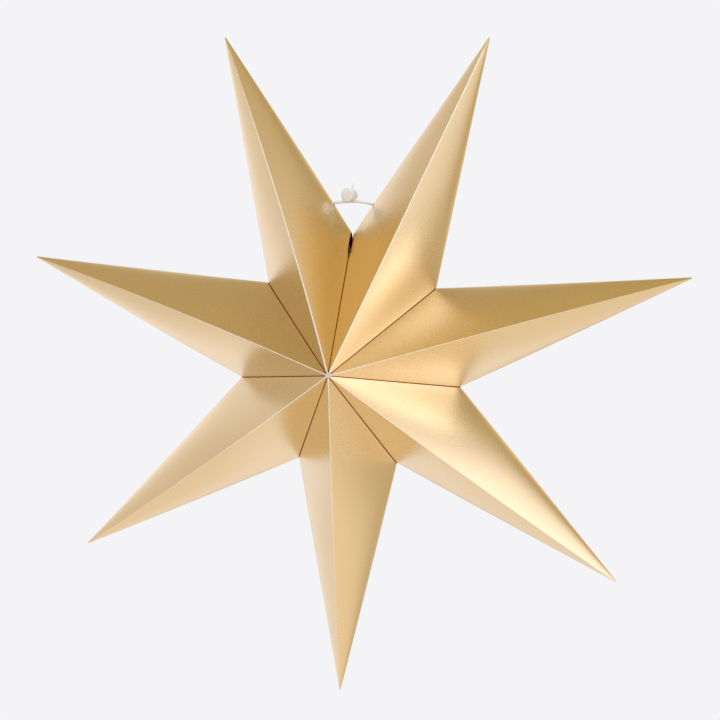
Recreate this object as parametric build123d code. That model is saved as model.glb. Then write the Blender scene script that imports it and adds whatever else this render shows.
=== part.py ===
from build123d import *
import os
from math import atan2, cos, hypot, radians, sin, sqrt, tan

# A hanging star with seven points, made of foil-faced card. Its axis lies along
# Y: the front looks to -Y and the closing seam is at the top, +Z. Each point is
# one folded sheet. Its front and back ridges are creased, its two side edges are
# left uncreased and bend softly, and narrow flanges along its seams are glued
# face to face to those of the next point. The two top points are drawn together
# by a moulded loop through a hole in each. The origin is the underside of the
# loop's strand, where the star hangs. Lengths are in millimetres.

# The whole star
point_count = 7
tip_radius = 150.0       # star's axis to the end of a point
apex_height = 53.5       # middle plane to the front or back apex
valley_radius = 49.4     # star's axis to the inner corner between two points
closing_angle = 44.0     # degrees between the centre lines of the two top points

# The card and its folds
card = 0.3
crease_width = 0.3       # flat along the outside of a ridge, level with the star's axis
side_bend_radius = 14.0  # soft bend of a side edge, level with the star's axis
seam_fold_radius = 0.35  # outside of the fold from a face to its flange
glue_line = 0.1          # between two glued flanges
eye_radius = 0.9         # pinhole where the sheets meet at each apex

# The flanges that join neighbours, and the tab that closes each back ridge
flange_width = 6.0
flange_start = 5.0       # star's axis to where a flange begins
flange_slit = 2.0        # at the corner, between front and back flange
slit_flare = 12.0        # degrees that each side of the slit opens inwards
relief_radius = 0.45     # round cut at the corner, where the folds meet
tab_width = 6.0
tab_start = 14.0         # along the ridge, from the apex to the tab
tab_end = 24.0           # along the ridge, from the tab to the tip
tab_slant = 5.0          # length of the tab's slanted ends along the ridge

# The closing seam, whose sides are pressed flat and stand apart at its outer end
gape = 1.2
gape_length = 9.5        # from the outline inwards
gape_ramp = 1.5
hole_radius = 1.5
hole_distance = 15.8     # along the side edge, from the outline's corner

# The moulded loop: a strand, and a head of disc and hub with a short tail
strand_radius = 0.55
strand_rise = 1.2        # middle of the strand above the holes
strand_inside = 6.0      # how far it runs into a point before it turns down
strand_bend = 1.5
strand_foot = 6.0        # half width of the lowest run
strand_clearance = 0.3   # to the corner of the flanges that the strand holds
head_radius = 3.2
head_thickness = 1.5
head_edge = 0.4
head_turn = 27.0         # degrees that the head looks to the left of the front
head_shift = 1.6         # head's centre to the left of the strand's middle
hub_radius = 2.6
hub_length = 3.4
hub_edge = 0.5
tail_radius = 0.4
tail_length = 2.4
tail_lean = 12.0         # degrees

overrun = 5.0            # how far a cutting shape runs past what it cuts

# Clockwise from the closing seam, as seen from the front
POINT_NAMES = [
    "point_top_right", "point_right", "point_lower_right", "point_bottom",
    "point_lower_left", "point_left", "point_top_left",
]

pitch = (360.0 - closing_angle) / (point_count - 1)


class Seam:
    """A seam beside a point: degrees from the point's centre line, and its kind."""

    def __init__(self, angle, closes):
        self.angle = angle
        self.closes = closes


glued = Seam(pitch / 2, closes=False)
closing = Seam(closing_angle / 2, closes=True)


def outline_half_width():
    """Half width of a point at the star's axis, if its outline ran on that far."""
    turn = radians(glued.angle)
    return valley_radius * sin(turn) / (1 - valley_radius * cos(turn) / tip_radius)


def sharp_half_width():
    """Half width to where the flat faces would meet beyond the rounded side."""
    slope = hypot(1, outline_half / cone_length)
    centre = outline_half - side_bend_radius * slope
    steep = 1 / apex_height**2 + 1 / cone_length**2
    reach = side_bend_radius * sqrt(1 + steep * (centre**2 - side_bend_radius**2))
    return (centre + reach) / (1 - steep * side_bend_radius**2)


def corner_radius(half_width, seam):
    """Star's axis to where an outline or a flat face meets a seam."""
    turn = radians(seam.angle)
    return half_width / (sin(turn) + half_width / cone_length * cos(turn))


outline_half = outline_half_width()
cone_length = tip_radius / (1 - card / outline_half)
side_half = sharp_half_width()
face_offset = 1 / hypot(1 / side_half, 1 / apex_height, 1 / cone_length)
card_shift = card * cone_length / face_offset

# The closing corner, and the holes beside it
closing_radius = corner_radius(outline_half, closing)
gape_start = closing_radius - gape_length
tip_x = tip_radius * sin(radians(closing.angle))
tip_z = tip_radius * cos(radians(closing.angle))
side_lean = atan2(tip_x, tip_z - closing_radius)
hole_x = hole_distance * sin(side_lean)
hole_z = closing_radius + hole_distance * cos(side_lean)

# Heights of the strand: its middle, where the star hangs, and its lowest run
strand_top = hole_z + strand_rise
hang_height = strand_top - strand_radius


def towards_end(place, share):
    """Place on the line from the end of a point's sharp form through another place."""
    end = Vector(0, 0, cone_length)
    return end + (place - end) * share


class SideBend:
    """The soft bend on the right of a point: part of a cone between two flat faces."""

    def __init__(self):
        self.centre = Vector(side_half * (1 - side_bend_radius / face_offset), 0, 0)
        sides = [(side_half, -apex_height), (side_half, apex_height)]
        normals = [Vector(1 / x, 1 / y, 1 / cone_length).normalized() for x, y in sides]
        self.touches = [self.centre + normal * side_bend_radius for normal in normals]
        self.line = Axis(self.centre, towards_end(self.centre, 0) - self.centre)
        across = [n - self.line.direction * n.dot(self.line.direction) for n in normals]
        self.turn = across[0].get_angle(across[1])

    def section(self):
        """Where it touches the front face, its centre, and where it touches the back."""
        level_share = cone_length / (cone_length - self.touches[0].Z)
        front, back = [towards_end(touch, level_share) for touch in self.touches]
        return [front, self.centre, back]

    def sector(self, near_share, far_share):
        """Solid between the bend and its centre line."""
        places = [towards_end(place, near_share) for place in (self.centre, self.touches[0])]
        places += [towards_end(place, far_share) for place in (self.touches[0], self.centre)]
        return revolve(Face(Wire.make_polygon(places)), self.line, self.turn)


def tapered_point():
    """A solid point with flat faces, rounded sides and a blunt end."""
    bend = SideBend()
    crease = crease_width / 2
    crease_height = apex_height * (1 - crease / side_half)
    half = bend.section() + [Vector(crease, crease_height, 0)]
    section = half + [Vector(-place.X, place.Y, 0) for place in reversed(half)]
    section.append(Vector(-crease, -crease_height, 0))
    section.append(Vector(crease, -crease_height, 0))
    near_share = 1 + overrun / cone_length
    far_share = (1 - tip_radius / cone_length) / 2
    near = [towards_end(place, near_share) for place in section]
    far = [towards_end(place, far_share) for place in section]
    outlines = [near, far]
    for this, following in zip(range(len(section)), [*range(1, len(section)), 0]):
        outlines.append([near[this], near[following], far[following], far[this]])
    core = Solid(Shell([Face(Wire.make_polygon(outline)) for outline in outlines]))
    sector = bend.sector(near_share, far_share)
    core = core + sector + mirror(sector, Plane.YZ)
    return split(core, Plane.XY.offset(tip_radius), keep=Keep.BOTTOM)


def front_frame(seam):
    """Frame of a seam on the right, seen from the front: x runs out, y into the point."""
    turn = radians(seam.angle)
    return Plane(origin=(0, 0, 0), x_dir=(sin(turn), 0, cos(turn)), z_dir=(0, -1, 0))


def side_frame(seam):
    """Frame of a seam on the right, seen square on: x runs out, y to the back."""
    turn = radians(seam.angle)
    inward = (-cos(turn), 0, sin(turn))
    return Plane(origin=(0, 0, 0), x_dir=(sin(turn), 0, cos(turn)), z_dir=inward)


def seam_line(seam, inset):
    """Limit of a point along a seam on its right, in the seam's front frame."""
    line = [(-tip_radius, inset)]
    if seam.closes:
        line.append((gape_start, inset))
        inset += (gape - glue_line) / 2
        line.append((gape_start + gape_ramp, inset))
    return line + [(tip_radius, inset)]


def beyond(seam, inset):
    """All that lies beyond the right side of a point, as a solid to cut away."""
    far = [(tip_radius, -tip_radius), (-tip_radius, -tip_radius)]
    region = front_frame(seam) * Polygon(*seam_line(seam, inset), *far, align=None)
    return extrude(region, amount=apex_height + overrun, both=True)


def between_seams(solid, right, left, inset):
    """What is left of a solid between the two seams of a point."""
    solid -= beyond(right, inset)
    return solid - mirror(beyond(left, inset), Plane.YZ)


def around_axis(radius):
    """Cylinder along the star's axis, longer than the star is deep."""
    return Rot(90, 0, 0) * Cylinder(radius, 2 * (apex_height + overrun))


def fold_edges(solid, seam):
    """Edges along which the faces of a point fold into a seam on its right."""
    frame = front_frame(seam)
    beside, around = ShapeList(), ShapeList()
    for face in solid.faces():
        depths = [frame.to_local_coords(corner.center()).Y for corner in face.vertices()]
        if max(depths) > gape:
            around.append(face)
        elif face.geom_type == GeomType.PLANE:
            beside.append(face)
    return [edge for edge in beside.edges() if edge in around.edges()]


def rounded_outside(right, left):
    """Solid between the outside of a point and its two seams, with round folds."""
    solid = between_seams(tapered_point(), right, left, glue_line / 2)
    solid -= around_axis(eye_radius)
    solid = fillet(fold_edges(solid, right), seam_fold_radius)
    solid = mirror(solid, Plane.YZ)
    solid = fillet(fold_edges(solid, left), seam_fold_radius)
    return mirror(solid, Plane.YZ)


def hollow(layers):
    """Inside of a point behind so many layers of card: its outside, moved inwards."""
    return Pos(0, 0, -layers * card_shift) * tapered_point()


def fold_lean(seam):
    """Angle between a seam's fold and the line from the star's axis to its corner."""
    return atan2(apex_height, corner_radius(side_half, seam))


def flange_tip(seam):
    """Star's axis to the inner corner of the flanges on a seam."""
    return corner_radius(side_half, seam) - flange_width / sin(fold_lean(seam))


def flange_opening(seam):
    """What is cut from a web on a seam on the right, to leave the flanges."""
    corner = corner_radius(side_half, seam)
    tip = flange_tip(seam)
    back = (tip + overrun) * tan(fold_lean(seam))
    cut = Polygon((tip, 0), (-overrun, back), (-overrun, -back), align=None)
    cut += Rectangle(2 * flange_start, 2 * apex_height)
    if not seam.closes:
        narrow = flange_slit / 2
        wide = narrow + (corner - flange_start) * tan(radians(slit_flare))
        slit = [(corner, narrow), (flange_start, wide), (flange_start, -wide), (corner, -narrow)]
        cut += Polygon(*slit, align=None)
    return extrude(side_frame(seam) * cut, amount=gape / 2 + 2 * card)


def corner_relief(seam):
    """Round cut through the sheet at the corner of a seam on its right."""
    valley = side_frame(seam) * Pos(corner_radius(outline_half, seam), 0, 0)
    return valley * Rot(0, 90, 0) * Cylinder(relief_radius, 2 * flange_slit)


def glue_tab():
    """Tab inside the back ridge, glued to the face on its right."""
    face_share = side_half / hypot(side_half, apex_height)
    ridge = hypot(apex_height, cone_length)
    along_share = cone_length / ridge
    edge = tab_width * face_share
    first = tab_start * along_share
    last = (ridge - tab_end) * along_share
    slant = tab_slant * along_share
    outline = [(0, first), (edge, first + slant), (edge, last - slant), (0, last)]
    region = extrude(Plane.XZ * Polygon(*outline, align=None), amount=-apex_height)
    return (hollow(1) - hollow(2)) & region


def folded_point(right, left):
    """One folded sheet, with its centre line along Z and its back ridge at +Y."""
    sheet = rounded_outside(right, left)
    sheet -= between_seams(hollow(1), right, left, glue_line / 2 + card)
    openings = flange_opening(right) + mirror(flange_opening(left), Plane.YZ)
    sheet -= hollow(1) & openings
    if not right.closes:
        sheet -= corner_relief(right)
    if not left.closes:
        sheet -= mirror(corner_relief(left), Plane.YZ)
    return sheet + glue_tab()


def punched_hole():
    """Hole in the side of the top right point, as a solid to cut away."""
    through = Plane(origin=(hole_x, 0, hole_z), z_dir=(cos(side_lean), 0, -sin(side_lean)))
    return through * Cylinder(hole_radius, 2 * overrun)


def strand_path():
    """The loop's centre line, from the head through both holes and below the flanges."""
    drop = (strand_radius + strand_clearance) / sin(fold_lean(closing))
    lowest = flange_tip(closing) - drop
    side = hole_x + strand_inside
    turn = (side, strand_top - strand_rise * side / hole_x)
    foot = (strand_foot, lowest)
    right = [(0, strand_top), turn, foot]
    left = [(-x, z) for x, z in reversed(right[1:])]
    return Plane.XZ * FilletPolyline(*right, *left, close=True, radius=strand_bend)


def loop_head():
    """Disc and hub that close the loop, and the short tail on the hub."""
    turn = radians(head_turn)
    facing = Plane(
        origin=(-head_shift, 0, strand_top + head_radius - strand_radius),
        x_dir=(cos(turn), -sin(turn), 0),
        z_dir=(-sin(turn), -cos(turn), 0),
    )
    disc = Cylinder(head_radius, head_thickness)
    disc = chamfer(disc.edges().filter_by(GeomType.CIRCLE), head_edge)
    hub = Cylinder(hub_radius, hub_length + head_edge)
    hub = chamfer(hub.faces().sort_by(Axis.Z)[0].edges(), hub_edge)
    hub += (
        Rot(0, 0, -tail_lean)
        * Pos(0, hub_radius + (tail_length - hub_edge) / 2, 0)
        * Rot(90, 0, 0)
        * Cylinder(tail_radius, tail_length + hub_edge)
    )
    disc_place = Pos(0, 0, hub_length / 2)
    hub_place = Pos(0, 0, (head_edge - head_thickness) / 2)
    return facing * (disc_place * disc + hub_place * hub)


def moulded_loop():
    """The whole loop, which is one moulded piece."""
    path = strand_path()
    start = Plane(origin=path @ 0, z_dir=path % 0)
    return sweep(start * Circle(strand_radius), path=path) + loop_head()


def folded_points():
    """All the points in their places, clockwise from the closing seam."""
    between = folded_point(glued, glued)
    first = folded_point(glued, closing)
    sheets = [first] + [between] * (point_count - 2) + [mirror(first, Plane.YZ)]
    placed = [
        Rot(0, closing.angle + number * pitch, 0) * sheet
        for number, sheet in enumerate(sheets)
    ]
    placed[0] -= punched_hole()
    placed[-1] -= mirror(punched_hole(), Plane.YZ)
    return placed


def write_parts():
    """One file for each piece, with the origin moved to where the star hangs."""
    os.makedirs("parts", exist_ok=True)
    pieces = dict(zip(POINT_NAMES, folded_points()))
    pieces["loop_fastener"] = moulded_loop()
    for name, piece in pieces.items():
        export_step(Pos(0, 0, -hang_height) * piece, f"parts/{name}.step")


write_parts()
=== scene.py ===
import math

import bmesh
import bpy
from mathutils import Euler, Matrix, Vector


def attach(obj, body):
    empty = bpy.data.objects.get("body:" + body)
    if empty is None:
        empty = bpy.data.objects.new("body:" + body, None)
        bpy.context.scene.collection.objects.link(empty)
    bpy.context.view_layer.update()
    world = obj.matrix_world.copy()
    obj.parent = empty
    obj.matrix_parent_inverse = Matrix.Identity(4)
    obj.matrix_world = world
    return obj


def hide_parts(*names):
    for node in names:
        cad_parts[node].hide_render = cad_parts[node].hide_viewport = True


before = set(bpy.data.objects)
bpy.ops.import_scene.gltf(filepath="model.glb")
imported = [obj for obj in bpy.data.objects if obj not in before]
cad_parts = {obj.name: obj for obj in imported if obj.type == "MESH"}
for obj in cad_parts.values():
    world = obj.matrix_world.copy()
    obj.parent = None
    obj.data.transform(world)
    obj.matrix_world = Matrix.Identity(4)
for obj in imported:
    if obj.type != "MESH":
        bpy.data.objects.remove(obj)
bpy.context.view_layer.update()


# The seven folded points. Each is one sheet of card faced with satin gold foil,
# creased along its front and back ridges and left to bend softly along its two
# side edges. Narrow flanges along its seams are folded in and glued to the next.

MM = 0.001
POINT_COUNT = 7
TIP_RADIUS = 150 * MM          # star's axis to the end of a point
VALLEY_RADIUS = 49.4 * MM      # star's axis to the inner corner between two points
RIDGE_HEIGHT = 52.9 * MM       # half depth of a point's form, level with the axis
CARD_THICKNESS = 0.3 * MM
FOLD = 0.22 * MM               # how far the rounded fold of a seam reaches
GLUE_LINE = 0.1 * MM           # between two glued flanges
FLANGE_WIDTH = 5.65 * MM       # beyond the fold
FLANGE_START = 5 * MM          # star's axis to where a flange begins
SLIT_HALF = 5.2 * MM           # middle plane to the front or back flange
RELIEF_HALF = 0.9 * MM         # middle plane to the end of the cut at the corner
GAPE = 0.55 * MM               # how far each sheet stands off where the closing seam is open
GAPE_START = 45.5 * MM         # star's axis to where it begins to open
GAPE_FULL = 47.5 * MM
HOLE_RADIUS = 1.5 * MM
HOLE_DISTANCE = 15.8 * MM      # along the side edge, from the corner at the closing seam
HANG_RISE = 0.65 * MM          # from a hole up to where the star hangs
CLOSING_ANGLE = math.radians(44)    # between the two top points
PITCH = (2 * math.pi - CLOSING_ANGLE) / (POINT_COUNT - 1)

# From a point's middle to its seams
CLOSING_SEAM = CLOSING_ANGLE / 2
GLUED_SEAM = PITCH / 2

# Half width of a point's form, level with the star's axis, and the axis to its sharp end
OUTLINE_HALF = VALLEY_RADIUS * math.sin(GLUED_SEAM) / (
    1 - VALLEY_RADIUS * math.cos(GLUED_SEAM) / TIP_RADIUS
)
CONE_LENGTH = TIP_RADIUS / (1 - CARD_THICKNESS / OUTLINE_HALF)

# The corner at the closing seam, the side edge that leans out from there, and its hole
CLOSING_RADIUS = OUTLINE_HALF / (
    math.sin(CLOSING_SEAM) + math.cos(CLOSING_SEAM) * OUTLINE_HALF / CONE_LENGTH
)
SIDE_LEAN = math.atan2(
    TIP_RADIUS * math.sin(CLOSING_SEAM),
    TIP_RADIUS * math.cos(CLOSING_SEAM) - CLOSING_RADIUS,
)
HOLE_X = HOLE_DISTANCE * math.sin(SIDE_LEAN)
HOLE_HEIGHT = CLOSING_RADIUS + HOLE_DISTANCE * math.cos(SIDE_LEAN)
HANG_HEIGHT = HOLE_HEIGHT + HANG_RISE

FOLD_ROWS = 6
FACE_ROWS = 64
QUARTER_COLUMNS = 26
CROWDING = 1.6                 # above 1, the columns stand closer near the side edges
CRISP_ANGLE = 0.7              # radians; an edge that bends by more is shaded crisp
SAME_PLACE = 0.001 * MM


class Wire:
    """A value that runs through a node tree and is written in sums like a number."""

    def __init__(self, tree, socket=None):
        self.tree = tree
        self.socket = socket

    def node(self, kind, values=(), output=0, **settings):
        """A new node with its settings first and then the values of its sockets."""
        made = self.tree.nodes.new(kind)
        for name, setting in settings.items():
            setattr(made, name, setting)
        for place, value in dict(values).items():
            if isinstance(value, Wire):
                self.tree.links.new(value.socket, made.inputs[place])
            else:
                made.inputs[place].default_value = value
        return Wire(self.tree, made.outputs[output])

    def math(self, operation, *others):
        return self.node("ShaderNodeMath", enumerate([self, *others]), operation=operation)

    def turned_round(self, operation, other):
        return self.node("ShaderNodeMath", enumerate([other, self]), operation=operation)

    def __add__(self, other):
        return self.math("ADD", other)

    def __radd__(self, other):
        return self.turned_round("ADD", other)

    def __sub__(self, other):
        return self.math("SUBTRACT", other)

    def __rsub__(self, other):
        return self.turned_round("SUBTRACT", other)

    def __mul__(self, other):
        return self.math("MULTIPLY", other)

    def __rmul__(self, other):
        return self.turned_round("MULTIPLY", other)

    def __truediv__(self, other):
        return self.math("DIVIDE", other)

    def __rtruediv__(self, other):
        return self.turned_round("DIVIDE", other)

    def __pow__(self, other):
        return self.math("POWER", other)

    def __lt__(self, other):
        return self.math("LESS_THAN", other)

    def __gt__(self, other):
        return self.math("GREATER_THAN", other)

    def root(self):
        return self.math("SQRT")

    def within(self, low, high):
        return self.math("MAXIMUM", low).math("MINIMUM", high)

    def rise(self, low, high):
        """From 0 at low to 1 at high, with a soft start and end."""
        return self.node(
            "ShaderNodeMapRange",
            {"Value": self, "From Min": low, "From Max": high},
            interpolation_type="SMOOTHSTEP",
        )

    def between(self, first, second):
        """The first number where this is 0, the second where it is 1."""
        return first + (second - first) * self


SHEET_SIZES = {
    "right seam": GLUED_SEAM,
    "left seam": GLUED_SEAM,
    "right gape": 0.0,
    "left gape": 0.0,
    "seam softness": 0.05,
    "middle softness": 0.45,
    "tip softness": 0.30,
    "ridge bow": 0.0,
    "tip lean": 0.0,
    "turn": 0.0,
}


def sheet_tree(foil):
    """The rule of a folded sheet: a grid laid over a tapering, soft-sided form."""
    tree = bpy.data.node_groups.new("folded sheet", "GeometryNodeTree")
    for name in SHEET_SIZES:
        tree.interface.new_socket(name=name, in_out="INPUT", socket_type="NodeSocketFloat")
    tree.interface.new_socket(name="Mesh", in_out="OUTPUT", socket_type="NodeSocketGeometry")
    given = tree.nodes.new("NodeGroupInput")
    size = {name: Wire(tree, given.outputs[name]) for name in SHEET_SIZES}
    start = Wire(tree)

    # Columns run round the sheet from its front ridge, rows from flange to tip
    rows = FOLD_ROWS + FACE_ROWS + 1
    grid = start.node("GeometryNodeMeshGrid", {
        "Size X": 1.0, "Size Y": 1.0,
        "Vertices X": 4 * QUARTER_COLUMNS + 1, "Vertices Y": rows + 1,
    })
    place = start.node("GeometryNodeInputPosition")
    across = place.node("ShaderNodeSeparateXYZ", {0: place}, output="X")
    along = place.node("ShaderNodeSeparateXYZ", {0: place}, output="Y")
    around = (across + 0.5) * 4
    row = (along + 0.5) * rows
    off_outline = (1 - around.math("PINGPONG", 1.0)) ** CROWDING
    left = around > 2.0001    # the back ridge itself counts as right
    side = 1 - 2 * left
    back = 1 - 2 * ((around - 2).math("ABSOLUTE") > 1)
    seam = left.between(size["right seam"], size["left seam"])
    gape = left.between(size["right gape"], size["left gape"])

    share = ((row - FOLD_ROWS) / FACE_ROWS).within(0.0, 1.0)
    softness = share.rise(0.0, 0.5).between(
        size["seam softness"],
        share.between(size["middle softness"], size["tip softness"]),
    )

    def half_width(soft):
        """How far out from the ridge a column lies. A softer side edge bends more widely."""
        ridge = (soft * soft + 1).root()
        here = (off_outline * off_outline + soft * soft).root()
        return (ridge - here) / (ridge - soft) * OUTLINE_HALF

    # Where the sheet is cut off by the plane of its seam
    seam_x = half_width(size["seam softness"])
    seam_y = off_outline * RIDGE_HEIGHT
    sine, cosine = seam.math("SINE"), seam.math("COSINE")
    reach = seam_x * cosine + sine * CONE_LENGTH
    seam_radius = (1 - sine * CONE_LENGTH / reach) * CONE_LENGTH / cosine
    inset = GLUE_LINE / 2 + gape * seam_radius.rise(GAPE_START, GAPE_FULL)
    seam_share = (sine * CONE_LENGTH - inset) / reach
    ray = (seam_x * seam_x + seam_y * seam_y + CONE_LENGTH ** 2).root()
    fold_share = seam_share - FOLD / ray

    # A place on the face, the fold's sharp corner, and the way that the flange goes
    tip_share = 1 - TIP_RADIUS / CONE_LENGTH
    last = row > rows - 0.5
    taper = share.between(fold_share, tip_share) * (1 - last)
    bow = 4 * share * (1 - share) * off_outline ** 2 * size["ridge bow"]
    lean = share ** 1.5 * size["tip lean"]
    face_x = half_width(softness) * taper * side
    face_y = seam_y * taper * back
    face_z = ((1 - taper) * CONE_LENGTH).math("MINIMUM", TIP_RADIUS)
    corner = OUTLINE_HALF / (sine + cosine * (OUTLINE_HALF / CONE_LENGTH))
    slope = (corner * corner + RIDGE_HEIGHT ** 2).root()
    inward = [
        -1 * sine * side * RIDGE_HEIGHT / slope,
        -1 * back * corner / slope,
        -1 * cosine * RIDGE_HEIGHT / slope,
    ]
    sharp = [
        seam_x * seam_share * side,
        seam_y * seam_share * back,
        (1 - seam_share) * CONE_LENGTH,
    ]

    # The fold is a curve from the face, past its sharp corner, to the flange
    fold = ((FOLD_ROWS - row) / (FOLD_ROWS - 1)).within(0.0, 1.0)
    flange = (row < 0.5) * FLANGE_WIDTH
    spots = []
    for face, turn, way in zip([face_x + bow + lean, face_y, face_z], sharp, inward):
        beyond = turn + way * FOLD
        bent = face * (1 - fold) ** 2 + turn * fold * (1 - fold) * 2 + beyond * fold ** 2
        spots.append(bent + way * flange)
    spot = start.node("ShaderNodeCombineXYZ", enumerate(spots))

    # What is cut away: flanges near the axis and near the corner, and the relief
    seam_depth = seam_y * seam_share
    flange_off = (row < 1) * ((seam_radius < FLANGE_START) + (seam_depth < SLIT_HALF))
    relief = (row < FOLD_ROWS) * (seam_depth < RELIEF_HALF)
    kept = start.node(
        "GeometryNodeDeleteGeometry",
        {"Geometry": grid, "Selection": (flange_off + relief) > 0.5},
        domain="FACE",
    )
    marked = kept.node("GeometryNodeStoreNamedAttribute", {
        "Geometry": kept, "Name": "from_ridge", "Value": face_x.math("ABSOLUTE"),
    })
    marked = kept.node("GeometryNodeStoreNamedAttribute", {
        "Geometry": marked, "Name": "from_seam", "Value": (fold_share - taper) * ray,
    })
    shaped = marked.node("GeometryNodeSetPosition", {"Geometry": marked, "Position": spot})
    closed = shaped.node("GeometryNodeMergeByDistance", {
        "Geometry": shaped, "Distance": SAME_PLACE,
    })
    crisp = start.node("GeometryNodeInputMeshEdgeAngle") > CRISP_ANGLE
    smooth = closed.node("GeometryNodeSetShadeSmooth", {
        "Geometry": closed, "Selection": crisp, "Shade Smooth": False,
    }, domain="EDGE")

    # The point stands on the star's axis and is turned to its place in the ring
    angle = start.node("ShaderNodeCombineXYZ", {1: size["turn"]})
    turned = smooth.node("GeometryNodeTransform", {
        "Geometry": smooth, "Translation": (0, 0, -HANG_HEIGHT),
        "Rotation": start.node("FunctionNodeEulerToRotation", {0: angle}),
    })
    real = turned.node("GeometryNodeRealizeInstances", {"Geometry": turned})
    done = real.node("GeometryNodeSetMaterial", {"Geometry": real, "Material": foil})
    tree.links.new(done.socket, tree.nodes.new("NodeGroupOutput").inputs[0])
    return tree


def new_material(name):
    """A node material with its surface, and the places on the piece that it reads."""
    material = bpy.data.materials.new(name)
    material.use_nodes = True
    tree = material.node_tree
    surface = tree.nodes["Principled BSDF"]
    spot = Wire(tree).node("ShaderNodeTexCoord", output="Object")
    return material, surface, spot


def feed(surface, socket, wire):
    surface.id_data.links.new(wire.socket, surface.inputs[socket])


PALE_HALF = 0.12 * MM     # ridge to where the pale line, worn foil and a painted crease glint, is no longer pale right through
PALE_END = 0.3 * MM       # ridge to where the pale line ends and the gold is whole
APEX_WEAR = 0.5 * MM      # how much farther the foil is worn at the apex
APEX_WORN = 0.3 * MM      # star's axis to where that wear begins to fade
APEX_WHOLE = 1.5 * MM     # star's axis to where it is gone
TIP_SHARPENING = 0.0017   # how fast the pale line narrows away from the axis
SEAM_SHADE_END = 0.2 * MM      # seam to where its painted brown shade ends and its lacquer is whole
RIDGE_RAGGEDNESS = 0.12 * MM
SEAM_SHADE_RAGGEDNESS = 0.14 * MM


def gold_foil():
    """Satin gold foil under clear lacquer. Its ridges are worn pale, partly a painted crease
    glint; its seams hold painted brown shade, with no lacquer there.
    """
    foil, surface, spot = new_material("satin gold foil")
    from_ridge = spot.node("ShaderNodeAttribute", output="Fac", attribute_name="from_ridge")
    from_seam = spot.node("ShaderNodeAttribute", output="Fac", attribute_name="from_seam")
    clouds = spot.node("ShaderNodeTexNoise", {"Vector": spot, "Scale": 22.0, "Detail": 3.0})
    flecks = spot.node("ShaderNodeTexNoise", {"Vector": spot, "Scale": 420.0, "Detail": 3.0})
    grain = spot.node("ShaderNodeTexNoise", {"Vector": spot, "Scale": 2600.0, "Detail": 2.0})
    from_axis = spot.node(
        "ShaderNodeVectorMath", {0: spot, 1: (0, 0, -HANG_HEIGHT)}, operation="SUBTRACT",
    )
    from_axis = spot.node(
        "ShaderNodeVectorMath", {0: from_axis, 1: (1, 0, 1)}, operation="MULTIPLY",
    )
    from_axis = spot.node(
        "ShaderNodeVectorMath", {0: from_axis}, output="Value", operation="LENGTH",
    )
    at_apex = 1 - from_axis.rise(APEX_WORN, APEX_WHOLE)
    # Painted highlight, in part: the pale cream line along each ridge is foil worn down to the
    # card, and also stands in for the glint on the crease's rounded edge.
    wear_and_glint = from_ridge + (flecks - 0.5) * RIDGE_RAGGEDNESS + from_axis * TIP_SHARPENING
    wear_and_glint = wear_and_glint - at_apex * APEX_WEAR
    pale = 1 - wear_and_glint.rise(PALE_HALF, PALE_END)
    # Painted shade: a brown line along each seam, where the lacquer is left off, stands in for the
    # shadow in the groove between two glued sheets.
    painted_seam_shade = 1 - (from_seam + (flecks - 0.5) * SEAM_SHADE_RAGGEDNESS).rise(0.0, SEAM_SHADE_END)
    gold = clouds.node("ShaderNodeMix", {
        "Factor": clouds, "A": (0.86, 0.725, 0.485, 1), "B": (0.88, 0.745, 0.515, 1),
    }, output="Result", data_type="RGBA")
    gold = painted_seam_shade.node("ShaderNodeMix", {
        "Factor": painted_seam_shade, "A": gold, "B": (0.62, 0.2, 0.03, 1),
    }, output="Result", data_type="RGBA")
    colour = pale.node("ShaderNodeMix", {
        "Factor": pale, "A": gold, "B": (0.98, 0.92, 0.79, 1),
    }, output="Result", data_type="RGBA")
    feed(surface, "Base Color", colour)
    feed(surface, "Metallic", 1 - pale)
    feed(surface, "Roughness", 0.27 + (clouds - 0.5) * 0.06 + (grain - 0.5) * 0.05)
    feed(surface, "Coat Weight", 1 - painted_seam_shade)
    surface.inputs["Coat Roughness"].default_value = 0.25
    surface.inputs["Coat IOR"].default_value = 1.5
    relief = grain * 0.1 + clouds
    bump = relief.node("ShaderNodeBump", {
        "Height": relief, "Strength": 0.02, "Distance": 0.4 * MM,
    }, output="Normal")
    feed(surface, "Normal", bump)
    return foil


def bare_card():
    """The uncoated back and the cut edges of the card."""
    card, surface, spot = new_material("bare card")
    fibres = spot.node("ShaderNodeTexNoise", {"Vector": spot, "Scale": 900.0, "Detail": 4.0})
    colour = fibres.node("ShaderNodeMix", {
        "Factor": fibres, "A": (0.72, 0.66, 0.56, 1), "B": (0.84, 0.79, 0.70, 1),
    }, output="Result", data_type="RGBA")
    feed(surface, "Base Color", colour)
    surface.inputs["Roughness"].default_value = 0.8
    return card


foil = gold_foil()
card = bare_card()
folded_sheet = sheet_tree(foil)


def lathed(body, profile, place):
    """Turns a profile of radius and height about its axis, closed at both ends."""
    steps = 48
    rings = []
    for radius, height in profile:
        turns = [2 * math.pi * step / steps for step in range(steps)]
        ring = [Vector((radius * math.cos(t), radius * math.sin(t), height)) for t in turns]
        rings.append([body.verts.new(place @ corner) for corner in ring])
    for low, high in zip(rings, rings[1:]):
        for step in range(steps):
            after = (step + 1) % steps
            body.faces.new((low[step], low[after], high[after], high[step]))
    body.faces.new(rings[0][::-1])
    body.faces.new(rings[-1])


def evaluated_mesh(piece):
    """The piece's shape with all its modifiers, as a plain mesh."""
    return bpy.data.meshes.new_from_object(
        piece.evaluated_get(bpy.context.evaluated_depsgraph_get())
    )


PUNCH_REACH = 5 * MM


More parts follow.
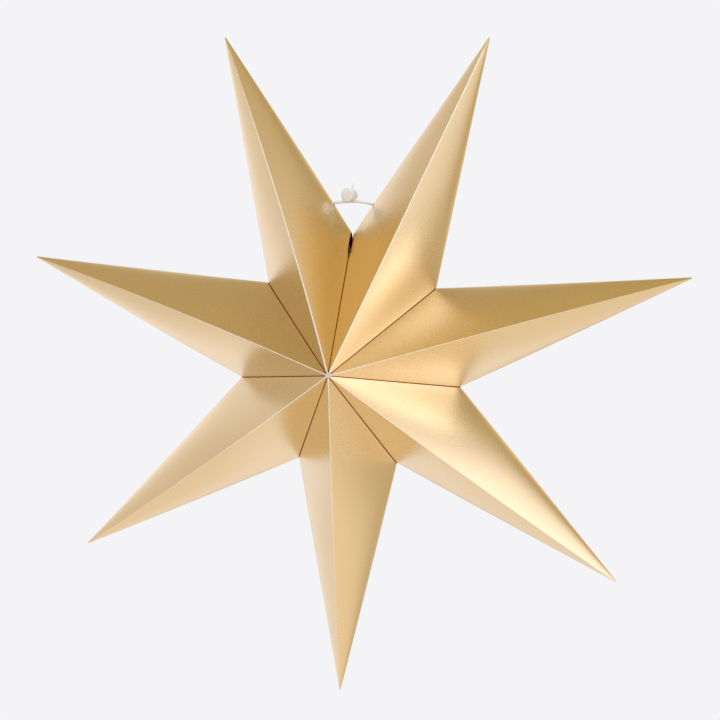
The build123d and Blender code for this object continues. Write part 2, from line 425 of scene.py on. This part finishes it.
def punch(sheet, side):
    """Punches the hole for the loop through the sheet's side edge."""
    cutter = bmesh.new()
    lean = Matrix.Rotation(side * (math.pi / 2 + SIDE_LEAN), 4, "Y")
    place = Matrix.Translation((side * HOLE_X, 0, -HANG_RISE)) @ lean
    lathed(cutter, [(HOLE_RADIUS, -PUNCH_REACH), (HOLE_RADIUS, PUNCH_REACH)], place)
    for face in cutter.faces:
        face.material_index = 1
    mesh = bpy.data.meshes.new("punch")
    cutter.to_mesh(mesh)
    tool = bpy.data.objects.new("punch", mesh)
    bpy.context.scene.collection.objects.link(tool)
    cut = sheet.modifiers.new("hole", "BOOLEAN")
    cut.object = tool
    cut.solver = "EXACT"
    sheet.data = evaluated_mesh(sheet)
    sheet.modifiers.clear()
    bpy.data.objects.remove(tool)


def fold_point(node, number, hole=0, **sizes):
    """One sheet in its place, as a plain mesh with its card's thickness."""
    mesh = bpy.data.meshes.new(node)
    sheet = bpy.data.objects.new(node + "_sheet", mesh)
    bpy.context.scene.collection.objects.link(sheet)
    rule = sheet.modifiers.new("rule", "NODES")
    rule.node_group = folded_sheet
    sizes = {name.replace("_", " "): size for name, size in sizes.items()}
    sizes["turn"] = CLOSING_SEAM + number * PITCH
    for item in folded_sheet.interface.items_tree:
        if item.in_out == "INPUT":
            rule[item.identifier] = float({**SHEET_SIZES, **sizes}[item.name])
    wall = sheet.modifiers.new("card", "SOLIDIFY")
    wall.thickness = CARD_THICKNESS
    wall.offset = -1
    wall.use_even_offset = True
    wall.thickness_clamp = 1.0
    wall.material_offset = 1
    wall.material_offset_rim = 1
    sheet.data = evaluated_mesh(sheet)
    sheet.modifiers.clear()
    sheet.data.materials.clear()
    sheet.data.materials.append(foil)
    sheet.data.materials.append(card)
    if hole:
        punch(sheet, hole)
    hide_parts(node)
    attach(sheet, "root")


# Each sheet's own bend, and the side that faces the open end of the closing seam
SHEETS = {
    "point_top_right": dict(left_seam=CLOSING_SEAM, left_gape=GAPE, hole=1),
    "point_right": dict(ridge_bow=-0.57 * MM, tip_lean=-1.35 * MM),
    "point_lower_right": dict(ridge_bow=0.84 * MM, tip_lean=0.6 * MM),
    "point_bottom": dict(ridge_bow=0.46 * MM, tip_lean=1.2 * MM),
    "point_lower_left": dict(ridge_bow=-0.75 * MM, tip_lean=1.5 * MM),
    "point_left": dict(ridge_bow=1.5 * MM, tip_lean=1.2 * MM),
    "point_top_left": dict(
        right_seam=CLOSING_SEAM, right_gape=GAPE, hole=-1,
        ridge_bow=1.3 * MM, tip_lean=-2.0 * MM,
    ),
}
for number, (node, sizes) in enumerate(SHEETS.items()):
    fold_point(node, number, **sizes)


# The loop that the star hangs by. One moulding of cloudy nylon: a strand through
# a hole in each top point, closed by a flat disc and a hub, with the short tail
# that is left where it was cut off.

STRAND_RADIUS = 0.64 * MM
STRAND_ROUTE = [    # across and up, in millimetres
    (0, 0.6), (6, 0.12), (12.6, -1.35), (15.0, -1.8), (14.2, -3.8), (7.1, -19.3), (6.2, -20.99),
    (4.2, -20.99), (-4.2, -20.99), (-6.2, -20.99), (-7.1, -19.3), (-14.2, -3.8), (-15.0, -1.8),
    (-12.6, -1.35), (-6, 0.12),
]
HEAD_PLACE = (-1.6 * MM, 0, 3.2 * MM)
HEAD_TURN = math.radians(27)
DISC = dict(radius=3.2 * MM, low=0.95 * MM, high=2.45 * MM, edge=0.4 * MM)
HUB = dict(radius=2.6 * MM, low=-2.45 * MM, high=1.3 * MM, edge=0.5 * MM)
TAIL_DROP = 0.55 * MM
TAIL_LEAN = math.radians(-12)
TAIL = [(0.42, 2.1), (0.36, 4.2), (0.3, 4.9), (0.16, 5.0)]    # radius and length, millimetres
SKIN_DETAIL = 0.11 * MM


def nylon_strand():
    """A round strand of even thickness along its route."""
    line = bpy.data.curves.new("strand", "CURVE")
    line.dimensions = "3D"
    line.bevel_depth = STRAND_RADIUS
    line.bevel_resolution = 6
    line.resolution_u = 12
    spline = line.splines.new("NURBS")
    spline.points.add(len(STRAND_ROUTE) - 1)
    for point, (x, z) in zip(spline.points, STRAND_ROUTE):
        point.co = (x * MM, 0, z * MM, 1)
    spline.order_u = 3
    spline.use_cyclic_u = True
    tube = bpy.data.objects.new("strand", line)
    bpy.context.scene.collection.objects.link(tube)
    mesh = evaluated_mesh(tube)
    bpy.data.objects.remove(tube)
    return mesh


def rounded(radius, low, high, edge):
    """Profile of a short round form with both of its edges rounded."""
    steps = 5
    turns = [math.pi / 2 * step / steps for step in range(steps + 1)]
    flat = radius - edge
    foot = [(flat + edge * math.sin(t), low + edge - edge * math.cos(t)) for t in turns]
    top = [(flat + edge * math.cos(t), high - edge + edge * math.sin(t)) for t in turns]
    return foot + top


def nylon():
    """Cloudy off-white nylon that light soaks into, with the soft gloss of a moulding."""
    plastic, surface, spot = new_material("cloudy nylon")
    clouds = spot.node("ShaderNodeTexNoise", {"Vector": spot, "Scale": 260.0, "Detail": 3.0})
    grain = spot.node("ShaderNodeTexNoise", {"Vector": spot, "Scale": 3000.0, "Detail": 2.0})
    colour = clouds.node("ShaderNodeMix", {
        "Factor": clouds, "A": (0.975, 0.935, 0.89, 1), "B": (0.99, 0.97, 0.945, 1),
    }, output="Result", data_type="RGBA")
    feed(surface, "Base Color", colour)
    feed(surface, "Roughness", 0.5 + (grain - 0.5) * 0.2)
    relief = grain * 0.2 + clouds
    bump = relief.node("ShaderNodeBump", {
        "Height": relief, "Strength": 0.2, "Distance": 0.1 * MM,
    }, output="Normal")
    feed(surface, "Normal", bump)
    surface.inputs["Specular IOR Level"].default_value = 0.15
    surface.inputs["Subsurface Weight"].default_value = 0.9
    surface.inputs["Subsurface Radius"].default_value = (1.0, 0.9, 0.8)
    surface.inputs["Subsurface Scale"].default_value = 2.5 * MM
    return plastic


loop = bmesh.new()
loop.from_mesh(nylon_strand())
facing = Matrix.Rotation(-HEAD_TURN, 4, "Z") @ Matrix.Rotation(math.pi / 2, 4, "X")
facing = Matrix.Translation(HEAD_PLACE) @ facing
lathed(loop, rounded(**DISC), facing)
lathed(loop, rounded(**HUB), facing)
tail = Matrix.Rotation(TAIL_LEAN, 4, "Z") @ Matrix.Rotation(-math.pi / 2, 4, "X")
tail = facing @ Matrix.Translation((0, 0, -TAIL_DROP)) @ tail
lathed(loop, [(radius * MM, length * MM) for radius, length in TAIL], tail)
loop_mesh = bpy.data.meshes.new("loop")
loop.to_mesh(loop_mesh)
loop_fastener = bpy.data.objects.new("loop_fastener_moulding", loop_mesh)
bpy.context.scene.collection.objects.link(loop_fastener)
skin = loop_fastener.modifiers.new("one skin", "REMESH")
skin.mode = "VOXEL"
skin.voxel_size = SKIN_DETAIL
skin.use_smooth_shade = True
soft = loop_fastener.modifiers.new("moulded corners", "SMOOTH")
soft.factor = 0.5
soft.iterations = 2
loop_fastener.data = evaluated_mesh(loop_fastener)
loop_fastener.modifiers.clear()
loop_fastener.data.materials.append(nylon())
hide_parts("loop_fastener")
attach(loop_fastener, "root")


# The room: a plain pale floor, the even light of a soft studio, and the
# photograph's view of the star. Foil mirrors the studio's window, walls and table.

BACKGROUND = (0.905, 0.905, 0.922, 1)
EVEN_LIGHT = (0.95, 0.95, 0.95, 1)    # for every surface that isn't glossy

# Towards each light, how narrow it is, and how much cool and how much warm light it gives
SOFT_LIGHTS = {
    "window on the right": ((0.95, -0.2, 0.25), 12, 1.8, 0),
    "white wall on the left": ((-0.7, 0.7, 0.1), 6, 0.6, 0),
    "wall behind the star": ((0.35, 0.95, 0.1), 10, 0.2, 0.2),
    "ceiling": ((0.25, -0.35, 0.9), 7, 0, 0.45),
    "wall behind the camera": ((-0.5, -0.85, 0.05), 8, 0, 1),
    "table, far left": ((-0.5, 0.6, -0.65), 12, 0.45, 0),
    "table, far right": ((0.2, 0.6, -0.8), 12, 0.5, 0),
    "table, near right": ((0.75, -0.1, -0.65), 7, 0.4, 0.25),
    "floor": ((-0.2, -0.1, -0.95), 9, 0, 0.4),
}
ROOM_GLOW = 0.43    # warm light from everywhere else
COOL = (1, 1.05, 1.25)
WARM = (1, 0.7, 0.25)


def either_ray(tree, first, second):
    """1 for a ray of either kind, otherwise 0."""
    ray = Wire(tree).node("ShaderNodeLightPath", output=first)
    return ray.math("MAXIMUM", ray.node("ShaderNodeLightPath", output=second))


world = bpy.data.worlds.new("soft studio")
bpy.context.scene.world = world
world.use_nodes = True
air = Wire(world.node_tree)
view = air.node("ShaderNodeTexCoord", output="Generated")
cool, warm = 0, ROOM_GLOW
for towards, narrow, cool_part, warm_part in SOFT_LIGHTS.values():
    facing_it = view.node(
        "ShaderNodeVectorMath", {0: view, 1: Vector(towards).normalized()},
        output="Value", operation="DOT_PRODUCT",
    )
    glow = ((facing_it - 1) * narrow).math("EXPONENT")
    cool = glow * cool_part + cool
    warm = glow * warm_part + warm
cool_light = air.node("ShaderNodeVectorMath", {0: COOL, "Scale": cool}, operation="SCALE")
warm_light = air.node("ShaderNodeVectorMath", {0: WARM, "Scale": warm}, operation="SCALE")
soft_light = air.node("ShaderNodeVectorMath", {0: cool_light, 1: warm_light}, operation="ADD")
mirrored = air.node("ShaderNodeLightPath", output="Is Glossy Ray")
out_of_view = air.node("ShaderNodeMix", {
    "Factor": mirrored, "A": EVEN_LIGHT, "B": soft_light,
}, output="Result", data_type="RGBA")
in_view = either_ray(world.node_tree, "Is Camera Ray", "Is Transmission Ray")
studio = air.node("ShaderNodeMix", {
    "Factor": in_view, "A": out_of_view, "B": BACKGROUND,
}, output="Result", data_type="RGBA")
background = world.node_tree.nodes["Background"]
world.node_tree.links.new(studio.socket, background.inputs["Color"])

FLOOR_REACH = 4.0     # metres to the left, to the right and towards the camera
FLOOR_BACK = 1.6
FLOOR_DROP = 1.1


def pale_floor():
    """A plain pale floor that takes the star's shadow. Mirrored and clear rays go past it."""
    material = bpy.data.materials.new("pale floor")
    material.use_nodes = True
    tree = material.node_tree
    surface = tree.nodes["Principled BSDF"]
    surface.inputs["Base Color"].default_value = (0.93, 0.93, 0.945, 1)
    surface.inputs["Roughness"].default_value = 0.9
    goes_past = either_ray(tree, "Is Glossy Ray", "Is Transmission Ray")
    nothing = goes_past.node("ShaderNodeBsdfTransparent")
    mixed = goes_past.node("ShaderNodeMixShader", {
        0: goes_past, 1: Wire(tree, surface.outputs[0]), 2: nothing,
    })
    tree.links.new(mixed.socket, tree.nodes["Material Output"].inputs["Surface"])
    mesh = bpy.data.meshes.new("floor")
    edges = [(-FLOOR_REACH, -FLOOR_REACH), (FLOOR_REACH, -FLOOR_REACH)]
    edges += [(FLOOR_REACH, FLOOR_BACK), (-FLOOR_REACH, FLOOR_BACK)]
    mesh.from_pydata([(x, y, -FLOOR_DROP) for x, y in edges], [], [(0, 1, 2, 3)])
    mesh.materials.append(material)
    floor = bpy.data.objects.new("floor", mesh)
    bpy.context.scene.collection.objects.link(floor)


pale_floor()

CAMERA_PLACE = (0.10105, -0.59812, 0.006592)
CAMERA_TURNS = (82.935, -1.339, 9.345)    # degrees about X, Y and Z

eye = bpy.data.cameras.new("camera")
eye.sensor_width = 36
eye.lens = 69.65
eye.clip_start = 0.01
eye.clip_end = 20
camera = bpy.data.objects.new("camera", eye)
bpy.context.scene.collection.objects.link(camera)
turns = Euler([math.radians(turn) for turn in CAMERA_TURNS])
camera.matrix_world = Matrix.Translation(CAMERA_PLACE) @ turns.to_matrix().to_4x4()
bpy.context.scene.camera = camera
bpy.context.scene.view_settings.view_transform = "Standard"
